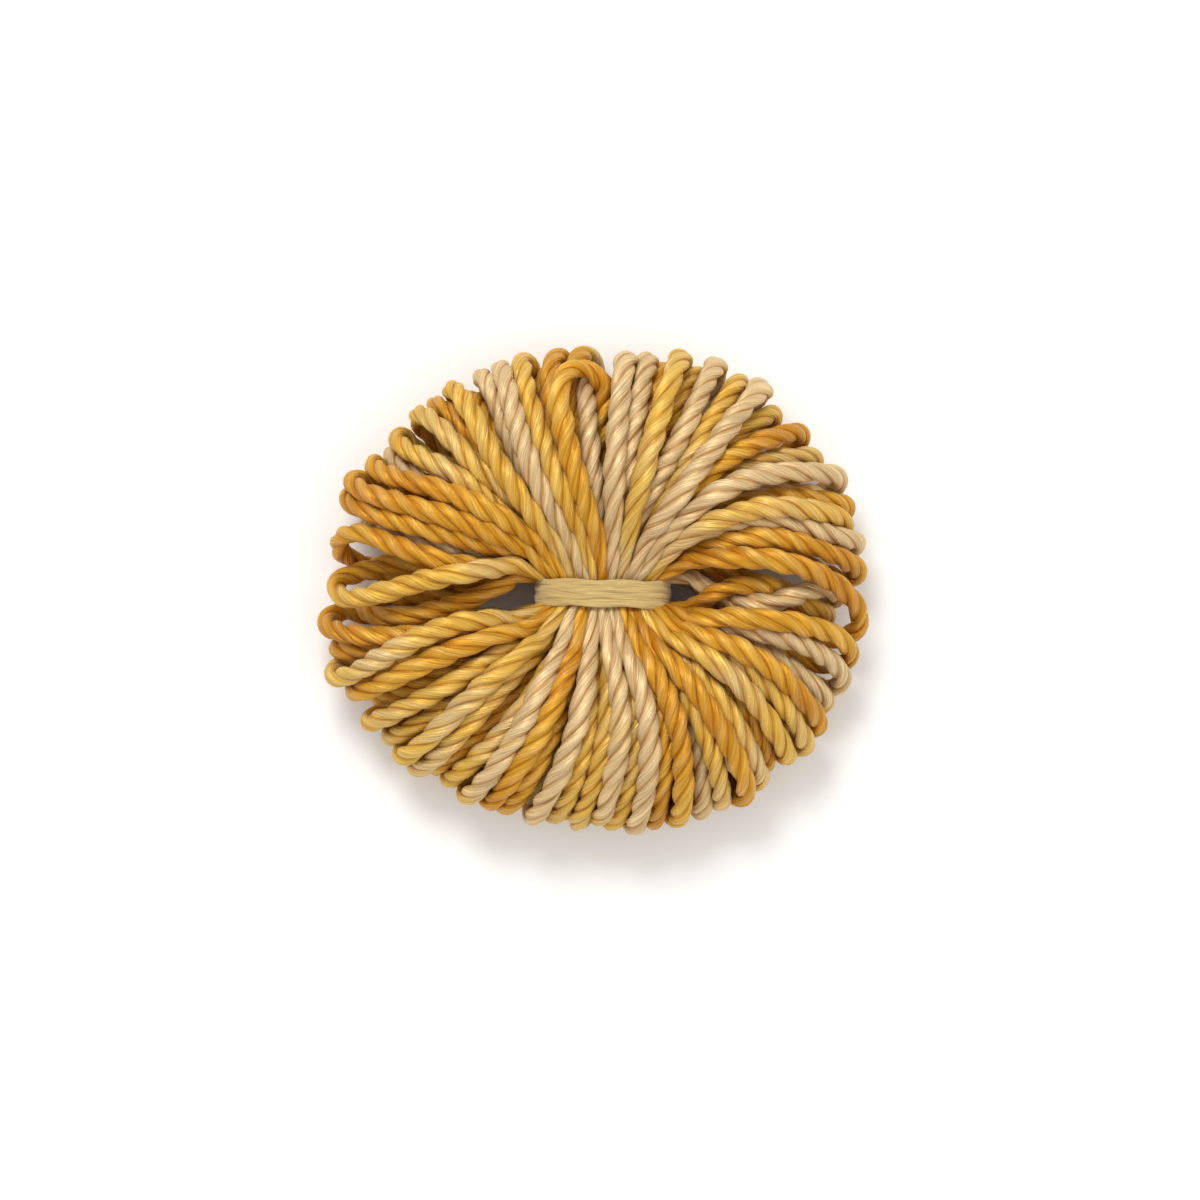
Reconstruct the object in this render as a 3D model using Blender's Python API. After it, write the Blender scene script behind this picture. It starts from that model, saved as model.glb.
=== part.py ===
"""A silk loop tuft: loops of three-ply silk cord, laid as two fans and bound tightly at the waist.

The tuft lies on its back at Z = 0, and the origin is on the flat underside of its binding.
X runs along the binding, Y along the bundle that it draws in, and Z up out of the tuft's face.
Sizes below are in millimetres, and the meshes are made in metres.
"""
import math

import bmesh
import bpy
import numpy as np
from mathutils import Matrix, Vector

MM = 0.001

# The waist: the squeezed bundle of cord inside the binding. It widens beyond it to the two domed faces
# that the loops start from.
WAIST_HALF_WIDTH = 3.55
WAIST_HALF_HEIGHT = 2.6
WAIST_MIDDLE_Z = 3.5
WAIST_RING_Y = 1.3
FAN_HALF_WIDTH = 4.45
FAN_HALF_HEIGHT = 2.95
FAN_END_SHARE = 0.5          # height of a domed face at its two ends, as a share of its middle height
DOME_BASE_Y = 1.6
DOME_RISE = 0.4
DOME_SAMPLES = 241
COLUMNS = 13
ROWS = 6
COLUMN_LOOPS = 3             # loops that start from one column
ROOT_MARGIN = 0.13           # share of a root's cell left around the strand

# The cord: one loop is one locked strand, out on top and back beneath.
CORD = 1.34                  # room that one cord takes at its full thickness
ROOT_CORD = 0.7              # room that it takes where the binding squeezes it
SWELL = 9.0                  # length over which a cord swells from one to the other
STRAND_SHARE = 0.66          # side of the four-sided strand, as a share of the cord's room
LEAST_CORD = 0.35            # least room left to a cord that is pressed on both sides
CORD_STEPS = 44              # points along a loop while it settles
FINE_STEPS = 96              # points along a finished strand, when its nearest neighbours are sought
FINE_SHARE = 3               # of these points, to one of the steps that near_pairs counts
STRAND_SEGMENTS = 14         # straight lengths in one strand, shorter where it bends
BEND_WEIGHT = 3.0            # length that a bend of one radian counts for, when they are shared out

# A loop's own route: it leaves its root partly straight out, bulges to one side and turns at its tip.
ROOT_LEAD = 0.8              # how far a strand goes before it turns freely
ROOT_LEAD_OUT = 0.35         # how much of that is straight away from the binding
TOP_SHARES = (0.36, 0.7)     # where the strand on top is at its near and at its crown height
TOP_HOOKS = (0.6, 1.0)       # how much of the hook it has taken there
BACK_SHARES = (0.66, 0.33)   # the same for the strand beneath, from the tip back
BACK_HOOKS = (-1.0, -0.6)
BACK_SAG = 0.1
SHOULDER_SETBACK = 1.5
BULGE_POWER = 0.7

# The binding: four turns of soft yarn.
BINDING_HALF_WIDTH = 4.7
BINDING_HALF_HEIGHT = 3.5
BINDING_HALF_LENGTH = 1.1
BINDING_WALL = 0.55
BINDING_TURNS = 4
TURN_STEPS = 4               # faces across one turn
TURN_VALLEY = 0.13
BINDING_ROUND = 2.6          # exponent of the binding's rounded outline
BINDING_SIDES = 44
BINDING_FLAT_Z = 0.16        # the underside below this height is pressed flat
SIDE_ROOM = 0.75             # beside the binding, cords keep off its two faces this far past its ends,
TOP_ROOM = 1.5               # and this far over its top,
FACE_GAP = 0.34              # by this much

# The three tiers of loops, and the one arch that stands over them: rows of the waist (out, back), then
# heights along the loop: of the strand on top at a third and at two thirds of its way and at its shoulder,
# of the tip, and of the strand beneath on its way back.
TIER = ("rows", "near", "crown", "shoulder", "tip", "under", "back")
TIERS = {
    "arch": ((0, 3), 8.6, 8.6, 8.0, 6.9, 6.0, 4.0),
    "top": ((0, 3), 8.5, 8.3, 6.7, 4.2, 2.4, 2.8),
    "mid": ((1, 4), 7.5, 7.7, 6.2, 3.7, 1.5, 1.9),
    "low": ((2, 5), 5.7, 6.5, 5.4, 3.0, 0.8, 1.0),
}

# The loops, three to a column of the waist, clockwise: the upper fan from its left end, and the lower fan
# from its right end. bearing: of the tip, in degrees from +X. reach: from the tuft's middle to the tip.
# bow: how far the loop bulges anticlockwise. hook: how far clockwise of the top strand the other one lies.
LOOP = ("tier", "bearing", "reach", "bow", "hook")
UPPER_FAN = (
    ("top", 179, 19.1, -0.6, 2.3), ("low", 184, 17.0, 0.75, 1.6), ("mid", 169.5, 19.1, 1.0, -2.6),
    ("low", 164, 17.4, 0.0, 0.8), ("mid", 159.5, 19.4, 0.0, 1.2), ("top", 156, 19.6, -0.6, 1.2),
    ("top", 150.5, 18.8, -1.2, 1.2), ("low", 148, 17.8, -0.6, 0.8), ("mid", 144, 18.3, -1.0, 0.4),
    ("mid", 136.5, 18.3, 0.2, -1.3), ("low", 131.5, 18.0, 0.2, -1.0), ("top", 127, 18.1, 0.6, -1.0),
    ("low", 123, 16.6, 0.4, 0.6), ("mid", 119.5, 17.7, 0.6, -0.9), ("top", 114.5, 17.6, 0.7, -0.9),
    ("top", 109, 17.5, 0.4, 1.9), ("low", 105, 16.2, 0.2, 0.6), ("mid", 101, 17.1, 0.6, 1.5),
    ("low", 94, 17.1, 0.4, 1.7), ("arch", 97, 16.1, 0.4, 3.2), ("mid", 93.5, 15.7, 0.2, 0.6),
    ("top", 84, 16.8, 0.2, 0.4), ("mid", 78.5, 16.9, 0.2, 0.3), ("low", 74, 16.6, 0.3, 0.5),
    ("top", 71.5, 17.7, 0.3, 0.3), ("low", 67, 17.0, 0.3, 0.8), ("mid", 63.5, 18.1, -0.2, 0.3),
    ("mid", 57, 17.9, 0.3, 0.3), ("top", 52, 18.6, 0.2, 0.4), ("low", 46, 17.6, 0.8, 1.2),
    ("mid", 38.5, 18.1, 1.7, 1.6), ("low", 32, 18.0, 1.9, 1.6), ("top", 25.5, 18.7, 2.3, 1.8),
    ("low", 19, 18.5, 2.0, 1.6), ("top", 15, 17.9, 2.2, 1.3), ("mid", 11, 18.5, 2.2, 1.6),
    ("mid", 4.5, 18.3, 2.2, 1.8), ("top", -6.5, 18.3, 1.7, 4.0), ("low", -1.5, 16.7, -1.4, 1.6),
)
LOWER_FAN = (
    ("low", -6, 16.0, 1.6, 1.2), ("top", -14.5, 18.1, 0.6, 2.6), ("mid", -21, 18.1, 0.8, 2.8),
    ("low", -26, 17.7, 0.9, 1.2), ("top", -32, 18.1, 1.2, 1.6), ("mid", -37.5, 18.2, 1.5, 1.4),
    ("top", -42.5, 17.6, 1.3, 1.3), ("low", -46, 17.0, 1.2, 1.2), ("mid", -50.5, 17.5, 0.8, 1.2),
    ("top", -56, 17.8, 0.8, 1.9), ("mid", -61.5, 17.1, 1.1, 1.2), ("low", -65, 17.0, 1.1, 1.2),
    ("low", -69, 16.2, 1.2, 1.2), ("top", -72, 17.1, 1.4, 1.5), ("mid", -77.5, 16.4, 1.3, 1.4),
    ("low", -80, 15.8, 1.2, 1.2), ("top", -83, 16.9, 1.5, 1.5), ("mid", -87, 15.9, 1.3, 1.4),
    ("low", -89, 15.6, 1.1, 1.0), ("top", -91.5, 16.2, 1.2, 1.0), ("mid", -95.5, 16.0, 0.9, 0.9),
    ("low", -99, 15.8, 0.8, 0.8), ("mid", -101.5, 16.1, 0.7, 0.9), ("top", -107.5, 16.9, 1.0, 0.9),
    ("low", -111, 16.0, 0.5, 0.8), ("mid", -113.5, 16.5, 0.5, 0.9), ("top", -118.5, 17.1, 0.6, 0.9),
    ("top", -124, 17.6, 0.8, 1.0), ("mid", -130, 17.3, 1.0, 0.9), ("low", -134, 17.3, 0.5, 0.8),
    ("mid", -136.5, 18.2, 0.1, 0.9), ("top", -141, 18.6, -0.2, 0.9), ("low", -146, 18.4, 0.2, 0.9),
    ("mid", -151, 19.1, 0.3, 0.6), ("low", -155, 17.6, 0.3, 0.8), ("top", -158.5, 19.2, -0.5, 1.0),
    ("top", -163, 20.2, -1.4, 1.4), ("low", -168, 19.4, 0.3, 1.0), ("mid", -174, 19.9, 0.7, 2.0),
)

# How the cords settle against one another.
SETTLE_PASSES = 200
SETTLE_RELIST = 8            # passes between two searches for cords that are near one another
SETTLE_PULL = 0.03           # share of the way back to its own route that a cord takes in a pass
SETTLE_STIFFNESS = 0.22
SETTLE_PUSH = 0.45           # share of an overlap that a pass takes off each of the two cords
SETTLE_STEP = 0.35           # longest way that a cord goes in a pass
SETTLE_EASING = 0.8          # share of the passes in which its stiffness and its own route still count
SETTLE_DRAW = 0.8            # how far settling draws a loop's tip in
PAIR_REACH = 1.35            # cords nearer than this share of a cord's room are looked at,
PAIR_STEPS = 5               # and so are two stretches of one cord more than this many steps apart
PAIR_BLOCK = 400
LEAST_REST = 0.5             # height of a cord's middle when it lies on the floor, as a share of its strand

SHARP_ANGLE = 40             # degrees
CORD_GOLD, CORD_ROUGHNESS = (0.62, 0.38, 0.1), 0.45
YARN_STRAW, YARN_ROUGHNESS = (0.72, 0.56, 0.25), 0.6


def fractions_of(points, fractions):
    """Points at the given shares of a route's whole length."""
    steps = np.linalg.norm(np.diff(points, axis=0), axis=1)
    travelled = np.concatenate([[0.0], np.cumsum(steps)])
    wanted = np.asarray(fractions) * travelled[-1]
    return np.stack([np.interp(wanted, travelled, points[:, axis]) for axis in range(3)], axis=1)


def smooth_route(knots, samples=12):
    """A Catmull-Rom curve through the knots, as closely spaced points."""
    ends = np.vstack([2 * knots[0] - knots[1], knots, 2 * knots[-1] - knots[-2]])
    shares = np.linspace(0.0, 1.0, samples, endpoint=False)[:, None]
    pieces = []
    for before, start, end, after in zip(ends, ends[1:], ends[2:], ends[3:]):
        pieces.append(0.5 * (2 * start + (end - before) * shares
                             + (2 * before - 5 * start + 4 * end - after) * shares ** 2
                             + (3 * start - before - 3 * end + after) * shares ** 3))
    return np.vstack(pieces + [knots[-1:]])


def waist_grid():
    """Corners of the root cells on the upper end of the waist, [column line, row line]."""
    arc = np.linspace(math.pi, 0.0, DOME_SAMPLES)
    dome = np.stack([FAN_HALF_WIDTH * np.cos(arc), DOME_BASE_Y + DOME_RISE * np.sin(arc), 0 * arc], axis=1)
    lines = fractions_of(dome, np.linspace(0.0, 1.0, COLUMNS + 1))
    grid = np.zeros((COLUMNS + 1, ROWS + 1, 3))
    for column, (x, y, _) in enumerate(lines):
        fullness = math.sqrt(max(0.0, 1.0 - (x / FAN_HALF_WIDTH) ** 2))
        half = FAN_HALF_HEIGHT * (FAN_END_SHARE + (1.0 - FAN_END_SHARE) * fullness)
        for row in range(ROWS + 1):
            grid[column, row] = (x, y, WAIST_MIDDLE_Z + half * (1.0 - 2.0 * row / ROWS))
    return grid


def waist_point(rim_point, y):
    """The point of the squeezed waist, so far along Y, that runs out to a point of the domed face's rim."""
    return (rim_point[0] * WAIST_HALF_WIDTH / FAN_HALF_WIDTH, y,
            WAIST_MIDDLE_Z + (rim_point[2] - WAIST_MIDDLE_Z) * WAIST_HALF_HEIGHT / FAN_HALF_HEIGHT)


def half_turn(points, fan):
    """The upper fan's points for the upper fan, or turned by half a turn about Z for the lower one."""
    return points if fan == 0 else points * np.array((-1.0, -1.0, 1.0))


def root_cell(grid, column, row):
    """Four corners of a strand's root, inside its cell: top left, top right, bottom right, bottom left."""
    corners = np.array([grid[column, row], grid[column + 1, row],
                        grid[column + 1, row + 1], grid[column, row + 1]])
    middle = corners.mean(axis=0)
    return middle + (corners - middle) * (1.0 - 2.0 * ROOT_MARGIN)


def loop_route(grid, fan, column, loop):
    """A loop's own route, before it settles: out on top, round the tip and back beneath."""
    tier = dict(zip(TIER, TIERS[loop["tier"]]))
    out_root, back_root = [root_cell(grid, column, row).mean(axis=0) for row in tier["rows"]]
    bearing = math.radians(loop["bearing"] + 180.0 * fan)
    radial = np.array((math.cos(bearing), math.sin(bearing), 0.0))
    turning = np.array((-radial[1], radial[0], 0.0))
    tip = radial * (loop["reach"] + SETTLE_DRAW - CORD / 2)
    shoulder = tip - radial * SHOULDER_SETBACK
    half_hook = turning * loop["hook"] / 2

    def on_the_way(root, share, height, side):
        straight = root + (shoulder + side * half_hook - root) * share
        bulge = loop["bow"] * (4 * share * (1 - share)) ** BULGE_POWER
        return np.array((*(straight + turning * bulge)[:2], height))

    def leaving(root, towards):
        way = towards - root
        way = way / np.linalg.norm(way) + (0.0, ROOT_LEAD_OUT, 0.0)
        return root + way * ROOT_LEAD / np.linalg.norm(way)

    near, crown = [on_the_way(out_root, share, tier[height], side)
                   for share, height, side in zip(TOP_SHARES, ("near", "crown"), TOP_HOOKS)]
    back_heights = (tier["under"] - BACK_SAG, tier["back"])
    under, back = [on_the_way(back_root, share, height, side)
                   for share, height, side in zip(BACK_SHARES, back_heights, BACK_HOOKS)]
    knots = [out_root, leaving(out_root, near), near, crown,
             np.array((*(shoulder + half_hook)[:2], tier["shoulder"])),
             np.array((*tip[:2], tier["tip"])),
             np.array((*(shoulder - half_hook)[:2], tier["under"])),
             under, back, leaving(back_root, back), back_root]
    return fractions_of(smooth_route(np.array(knots)), np.linspace(0.0, 1.0, CORD_STEPS))


def near_pairs(points, owners, steps, reach):
    """Pairs of cord points nearer to each other than reach, apart from near points of one cord."""
    first, second = [], []
    for start in range(0, len(points), PAIR_BLOCK):
        block = points[start:start + PAIR_BLOCK]
        gaps = np.linalg.norm(block[:, None, :] - points[None, :, :], axis=2)
        one, other = np.nonzero(gaps < reach)
        one = one + start
        apart = (owners[one] != owners[other]) | (np.abs(steps[one] - steps[other]) > PAIR_STEPS)
        keep = (one < other) & apart
        first.append(one[keep])
        second.append(other[keep])
    return np.concatenate(first), np.concatenate(second)


def cord_room(routes):
    """Room that the cord takes at each point: little at its squeezed roots, and all of it beyond."""
    steps = np.linalg.norm(np.diff(routes, axis=1), axis=2)
    travelled = np.concatenate([np.zeros((len(routes), 1)), np.cumsum(steps, axis=1)], axis=1)
    from_root = np.minimum(travelled, travelled[:, -1:] - travelled)
    share = np.clip(from_root / SWELL, 0.0, 1.0)
    return ROOT_CORD + (CORD - ROOT_CORD) * share * (2.0 - share)


def settle(routes):
    """Let the loops push each other apart, smooth out, rest on the floor and clear the binding."""
    count, length, _ = routes.shape
    owners = np.repeat(np.arange(count), length)
    steps = np.tile(np.arange(length), count)
    side = np.where(np.arange(count) < count // 2, 1.0, -1.0)[:, None]
    held = np.ones((count, length, 1))
    held[:, :2] = held[:, -2:] = 0.0
    own = routes.copy()
    routes = routes.copy()
    room = cord_room(own)
    flat_room = room.reshape(-1)
    clear = BINDING_HALF_LENGTH + FACE_GAP + room * STRAND_SHARE / 2
    for turn in range(SETTLE_PASSES):
        if turn % SETTLE_RELIST == 0:
            first, second = near_pairs(routes.reshape(-1, 3), owners, steps, CORD * PAIR_REACH)
            wanted = (flat_room[first] + flat_room[second]) / 2
        flat = routes.reshape(-1, 3)
        apart = flat[first] - flat[second]
        gap = np.maximum(np.linalg.norm(apart, axis=1), 1e-6)
        push = apart * (np.maximum(wanted - gap, 0.0) * SETTLE_PUSH / gap)[:, None]
        move = np.zeros_like(flat)
        np.add.at(move, first, push)
        np.add.at(move, second, -push)
        move = move.reshape(routes.shape)
        slack = max(0.0, 1.0 - turn / (SETTLE_EASING * SETTLE_PASSES))
        middle = (routes[:, :-2] + routes[:, 2:]) / 2
        move[:, 1:-1] += (middle - routes[:, 1:-1]) * SETTLE_STIFFNESS * slack
        move += (own - routes) * SETTLE_PULL * slack
        routes += np.clip(move, -SETTLE_STEP, SETTLE_STEP) * held
        routes[..., 2] = np.maximum(routes[..., 2], room * STRAND_SHARE * LEAST_REST)
        beside = np.abs(routes[..., 0]) < BINDING_HALF_WIDTH + SIDE_ROOM
        beside &= routes[..., 2] < 2 * BINDING_HALF_HEIGHT + TOP_ROOM
        routes[..., 1] = np.where(beside & (routes[..., 1] * side < clear), clear * side, routes[..., 1])
    return routes, room


def section_places(route):
    """Shares of a route's length at which a strand has its sections, closer together where it bends."""
    steps = np.diff(route, axis=0)
    lengths = np.linalg.norm(steps, axis=1)
    along = (steps[:-1] * steps[1:]).sum(axis=1) / (lengths[:-1] * lengths[1:])
    bends = np.arccos(np.clip(along, -1.0, 1.0))
    weights = lengths + BEND_WEIGHT * np.concatenate([bends[:1], (bends[:-1] + bends[1:]) / 2, bends[-1:]])
    travelled = np.concatenate([[0.0], np.cumsum(lengths)]) / lengths.sum()
    weighed = np.concatenate([[0.0], np.cumsum(weights)]) / weights.sum()
    return np.interp(np.linspace(0.0, 1.0, STRAND_SEGMENTS + 1), weighed, travelled)


def strand_sides(sections, places, room):
    """Side of each strand at each section: its share of the cord's room, less where a neighbour presses."""
    count, rings, _ = sections.shape
    fine = np.array([fractions_of(chain, np.linspace(0.0, 1.0, FINE_STEPS)) for chain in sections])
    flat = fine.reshape(-1, 3)
    owners = np.repeat(np.arange(count), FINE_STEPS)
    steps = np.tile(np.arange(FINE_STEPS), count)
    first, second = near_pairs(flat, owners, steps // FINE_SHARE, CORD)
    gaps = np.linalg.norm(flat[first] - flat[second], axis=1)
    nearest = np.full(len(flat), CORD)
    np.minimum.at(nearest, first, gaps)
    np.minimum.at(nearest, second, gaps)
    nearest = nearest.reshape(count, FINE_STEPS)
    sides = np.zeros((count, rings))
    for loop in range(count):
        for ring in range(rings):
            around = places[loop][[max(ring - 1, 0), min(ring + 1, rings - 1)]] * (FINE_STEPS - 1)
            pressed = nearest[loop, int(around[0]):int(math.ceil(around[1])) + 1].min()
            own = np.interp(places[loop][ring], np.linspace(0.0, 1.0, CORD_STEPS), room[loop])
            sides[loop, ring] = STRAND_SHARE * max(min(own, pressed), LEAST_CORD)
    return sides


def strand_rings(places, middles, sides, first_cell, last_cell):
    """Four-cornered sections of one strand, from its first root to its last one."""
    across = Vector(first_cell[1] - first_cell[0]).normalized()
    middles = [Vector(point) for point in middles]
    tangents = [(after - before).normalized() for before, after in zip(middles, middles[2:])]
    tangents.insert(0, (middles[1] - middles[0]).normalized())
    tangents.append((middles[-1] - middles[-2]).normalized())
    outer = tangents[0].cross(across).normalized()
    if outer.z < 0:
        outer.negate()
    outers = [outer]
    for before, after in zip(tangents, tangents[1:]):
        outers.append((before.rotation_difference(after) @ outers[-1]).normalized())
    wanted = (Vector((0, 0, -1)) + tangents[-1] * tangents[-1].z).normalized()
    turn = math.atan2(outers[-1].cross(wanted).dot(tangents[-1]), outers[-1].dot(wanted))
    rings = [first_cell]
    for place, middle, side, tangent, out in list(zip(places, middles, sides, tangents, outers))[1:-1]:
        out = Matrix.Rotation(turn * place, 3, tangent) @ out
        wide = out.cross(tangent)
        corners = [middle + out * side / 2 - wide * side / 2, middle + out * side / 2 + wide * side / 2,
                   middle - out * side / 2 + wide * side / 2, middle - out * side / 2 - wide * side / 2]
        rings.append(np.array([(c.x, c.y, max(c.z, 0.0)) for c in corners]))
    rings.append(last_cell[[3, 2, 1, 0]])
    return rings


def cord_loops():
    """All the loops, grown from the cells of the waist's two ends, as one closed mesh."""
    upper_grid = waist_grid()
    grids = [half_turn(upper_grid, fan) for fan in (0, 1)]
    loops = [dict(zip(LOOP, row)) for row in UPPER_FAN + LOWER_FAN]
    per_fan = len(UPPER_FAN)
    routes = []
    for number, loop in enumerate(loops):
        fan, place = divmod(number, per_fan)
        own = loop_route(upper_grid, fan, place // COLUMN_LOOPS, loop)
        routes.append(half_turn(own, fan))
    routes, room = settle(np.array(routes))
    places = [section_places(route) for route in routes]
    sections = np.array([fractions_of(route, shares) for route, shares in zip(routes, places)])
    sides = strand_sides(sections, places, room)

    mesh = bmesh.new()

    def corner_points(points):
        return [mesh.verts.new(Vector(point) * MM) for point in points]

    corners = [[corner_points(line) for line in grid] for grid in grids]
    for number, loop in enumerate(loops):
        fan, place = divmod(number, per_fan)
        column = place // COLUMN_LOOPS
        out_row, back_row = dict(zip(TIER, TIERS[loop["tier"]]))["rows"]
        cells = [root_cell(grids[fan], column, row) for row in (out_row, back_row)]
        rings = strand_rings(places[number], sections[number], sides[number], *cells)
        rings = [corner_points(ring) for ring in rings]
        for before, after in zip(rings, rings[1:]):
            for side in range(4):
                mesh.faces.new((before[side], before[side - 3], after[side - 3], after[side]))
        ends = (rings[0], [rings[-1][place] for place in (3, 2, 1, 0)])
        for row, root in zip((out_row, back_row), ends):
            lines = corners[fan]
            cell = [lines[column][row], lines[column + 1][row],
                    lines[column + 1][row + 1], lines[column][row + 1]]
            for side in range(4):
                mesh.faces.new((cell[side], cell[side - 3], root[side - 3], root[side]))

    rim = [(column, 0) for column in range(COLUMNS)] + [(COLUMNS, row) for row in range(ROWS)]
    rim += [(COLUMNS - column, ROWS) for column in range(COLUMNS)]
    rim += [(0, ROWS - row) for row in range(ROWS)]
    belts = [[corners[0][column][row] for column, row in rim]]
    for y in (WAIST_RING_Y, -WAIST_RING_Y):
        belts.append(corner_points([waist_point(upper_grid[place], y) for place in rim]))
    belts.append([corners[1][COLUMNS - column][row] for column, row in rim])
    for before, after in zip(belts, belts[1:]):
        for place in range(len(rim)):
            mesh.faces.new((before[place - 1], before[place], after[place], after[place - 1]))
    return mesh


def binding():
    """A belt round the waist: turns of soft yarn as low ridges, and a flat underside."""
    mesh = bmesh.new()
    steps = BINDING_TURNS * TURN_STEPS
    profile = []
    for step in range(steps + 1):
        valley = 0.5 + 0.5 * math.cos(2 * math.pi * step / TURN_STEPS)
        profile.append((-1.0 + 2.0 * step / steps, -TURN_VALLEY * valley))
    rings = []
    for side in range(BINDING_SIDES):
        angle = 2 * math.pi * (side + 0.5) / BINDING_SIDES
        outline = [math.copysign(abs(wave) ** (2 / BINDING_ROUND), wave)
                   for wave in (math.cos(angle), math.sin(angle))]
        ring = []
        for share, rise in profile:
            x = (BINDING_HALF_WIDTH + rise) * outline[0]
            z = BINDING_HALF_HEIGHT + (BINDING_HALF_HEIGHT + rise) * outline[1]
            ring.append((x, share * BINDING_HALF_LENGTH, 0.0 if z < BINDING_FLAT_Z else z))
        for y in (BINDING_HALF_LENGTH, -BINDING_HALF_LENGTH):
            x = (BINDING_HALF_WIDTH - BINDING_WALL) * outline[0]
            z = BINDING_HALF_HEIGHT + (BINDING_HALF_HEIGHT - BINDING_WALL) * outline[1]
            ring.append((x, y, z))
        rings.append([mesh.verts.new(Vector(point) * MM) for point in ring])
    for before, after in zip(rings, rings[1:] + rings[:1]):
        for place in range(len(before)):
            mesh.faces.new((before[place - 1], before[place], after[place], after[place - 1]))
    resting = [face for face in mesh.faces if all(vert.co.z == 0.0 for vert in face.verts)]
    bmesh.ops.dissolve_faces(mesh, faces=resting, use_verts=True)
    return mesh


def silk(name, colour, roughness):
    """A Principled material of one of the tuft's silks."""
    material = bpy.data.materials.new(name)
    material.use_nodes = True
    shader = material.node_tree.nodes["Principled BSDF"]
    shader.inputs["Base Color"].default_value = (*colour, 1.0)
    shader.inputs["Roughness"].default_value = roughness
    shader.inputs["Metallic"].default_value = 0.0
    return material


def add_piece(name, mesh, material):
    """Put a closed mesh into the scene as a named object, shaded smooth."""
    bmesh.ops.recalc_face_normals(mesh, faces=mesh.faces)
    data = bpy.data.meshes.new(name)
    mesh.to_mesh(data)
    mesh.free()
    data.shade_smooth()
    data.set_sharp_from_angle(angle=math.radians(SHARP_ANGLE))
    data.materials.append(material)
    piece = bpy.data.objects.new(name, data)
    bpy.context.scene.collection.objects.link(piece)
    return piece


def main():
    """Build the tuft's two pieces."""
    for old in list(bpy.data.objects):
        bpy.data.objects.remove(old, do_unlink=True)
    add_piece("cord_loops", cord_loops(), silk("gold silk cord", CORD_GOLD, CORD_ROUGHNESS))
    add_piece("binding", binding(), silk("pale silk yarn", YARN_STRAW, YARN_ROUGHNESS))


main()
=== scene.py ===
"""Looks of a silk loop tuft: twisted, space-dyed silk cord in two fans of loops, bound with soft yarn.

Sizes are in millimetres in the tuft's own frame, X along the binding and Z out of its face.
Every mesh is turned to metres when it is made.
"""
import logging
import math
from dataclasses import dataclass, field
from enum import Enum

import bpy
import numpy as np
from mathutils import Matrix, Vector


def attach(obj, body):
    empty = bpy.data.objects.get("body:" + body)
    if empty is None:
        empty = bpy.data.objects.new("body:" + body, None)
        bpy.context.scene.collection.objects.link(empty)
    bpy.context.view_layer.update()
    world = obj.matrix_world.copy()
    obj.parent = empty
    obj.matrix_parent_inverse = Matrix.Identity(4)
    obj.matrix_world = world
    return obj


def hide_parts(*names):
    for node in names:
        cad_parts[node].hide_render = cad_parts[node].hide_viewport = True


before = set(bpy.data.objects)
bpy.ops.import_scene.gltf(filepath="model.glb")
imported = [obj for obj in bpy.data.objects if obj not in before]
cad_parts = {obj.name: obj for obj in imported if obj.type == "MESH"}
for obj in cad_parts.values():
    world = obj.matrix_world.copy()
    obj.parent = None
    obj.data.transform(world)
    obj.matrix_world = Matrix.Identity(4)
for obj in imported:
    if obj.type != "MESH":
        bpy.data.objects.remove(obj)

MM = 0.001
log = logging.getLogger("silk_tuft")
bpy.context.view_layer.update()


def linear(colour: str) -> tuple[float, float, float, float]:
    """Turn an sRGB colour into the linear values that shaders take.

    Args:
        colour: six hex digits, such as "d9a032".

    Returns:
        Red, green, blue and an alpha of one.
    """
    values = [int(colour[place:place + 2], 16) / 255 for place in (0, 2, 4)]
    return tuple(v / 12.92 if v <= 0.04045 else ((v + 0.055) / 1.055) ** 2.4 for v in values) + (1.0,)


def add_node(tree: bpy.types.NodeTree, kind: str, settings: dict | None = None,
             links: dict | None = None) -> bpy.types.Node:
    """Add a node to a material.

    Args:
        tree: the material's node tree.
        kind: the node's Blender type.
        settings: values by name: of the node's properties, or of its input sockets by name or number.
        links: output sockets by the name or number of the input that they feed.

    Returns:
        The new node.
    """
    node = tree.nodes.new(kind)
    for name, value in (settings or {}).items():
        if isinstance(name, str) and hasattr(node, name):
            setattr(node, name, value)
        else:
            node.inputs[name].default_value = value
    for name, source in (links or {}).items():
        tree.links.new(source, node.inputs[name])
    return node


def new_material(name: str) -> tuple[bpy.types.Material, bpy.types.NodeTree]:
    """Make an empty material with nodes.

    Args:
        name: the material's name.

    Returns:
        The material and its cleared node tree.
    """
    material = bpy.data.materials.new(name)
    material.use_nodes = True
    material.node_tree.nodes.clear()
    return material, material.node_tree


def lengths_along(points: np.ndarray) -> np.ndarray:
    """Distance travelled along a route at each of its points."""
    steps = np.linalg.norm(np.diff(points, axis=0), axis=1)
    return np.concatenate([[0.0], np.cumsum(steps)])


def fractions_of(points: np.ndarray, fractions: np.ndarray) -> np.ndarray:
    """Read points off a route.

    Args:
        points: the route's points.
        fractions: shares of its whole length.

    Returns:
        One point for each share.
    """
    travelled = lengths_along(points)
    wanted = np.asarray(fractions) * travelled[-1]
    return np.stack([np.interp(wanted, travelled, points[:, axis]) for axis in range(3)], axis=1)


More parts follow.
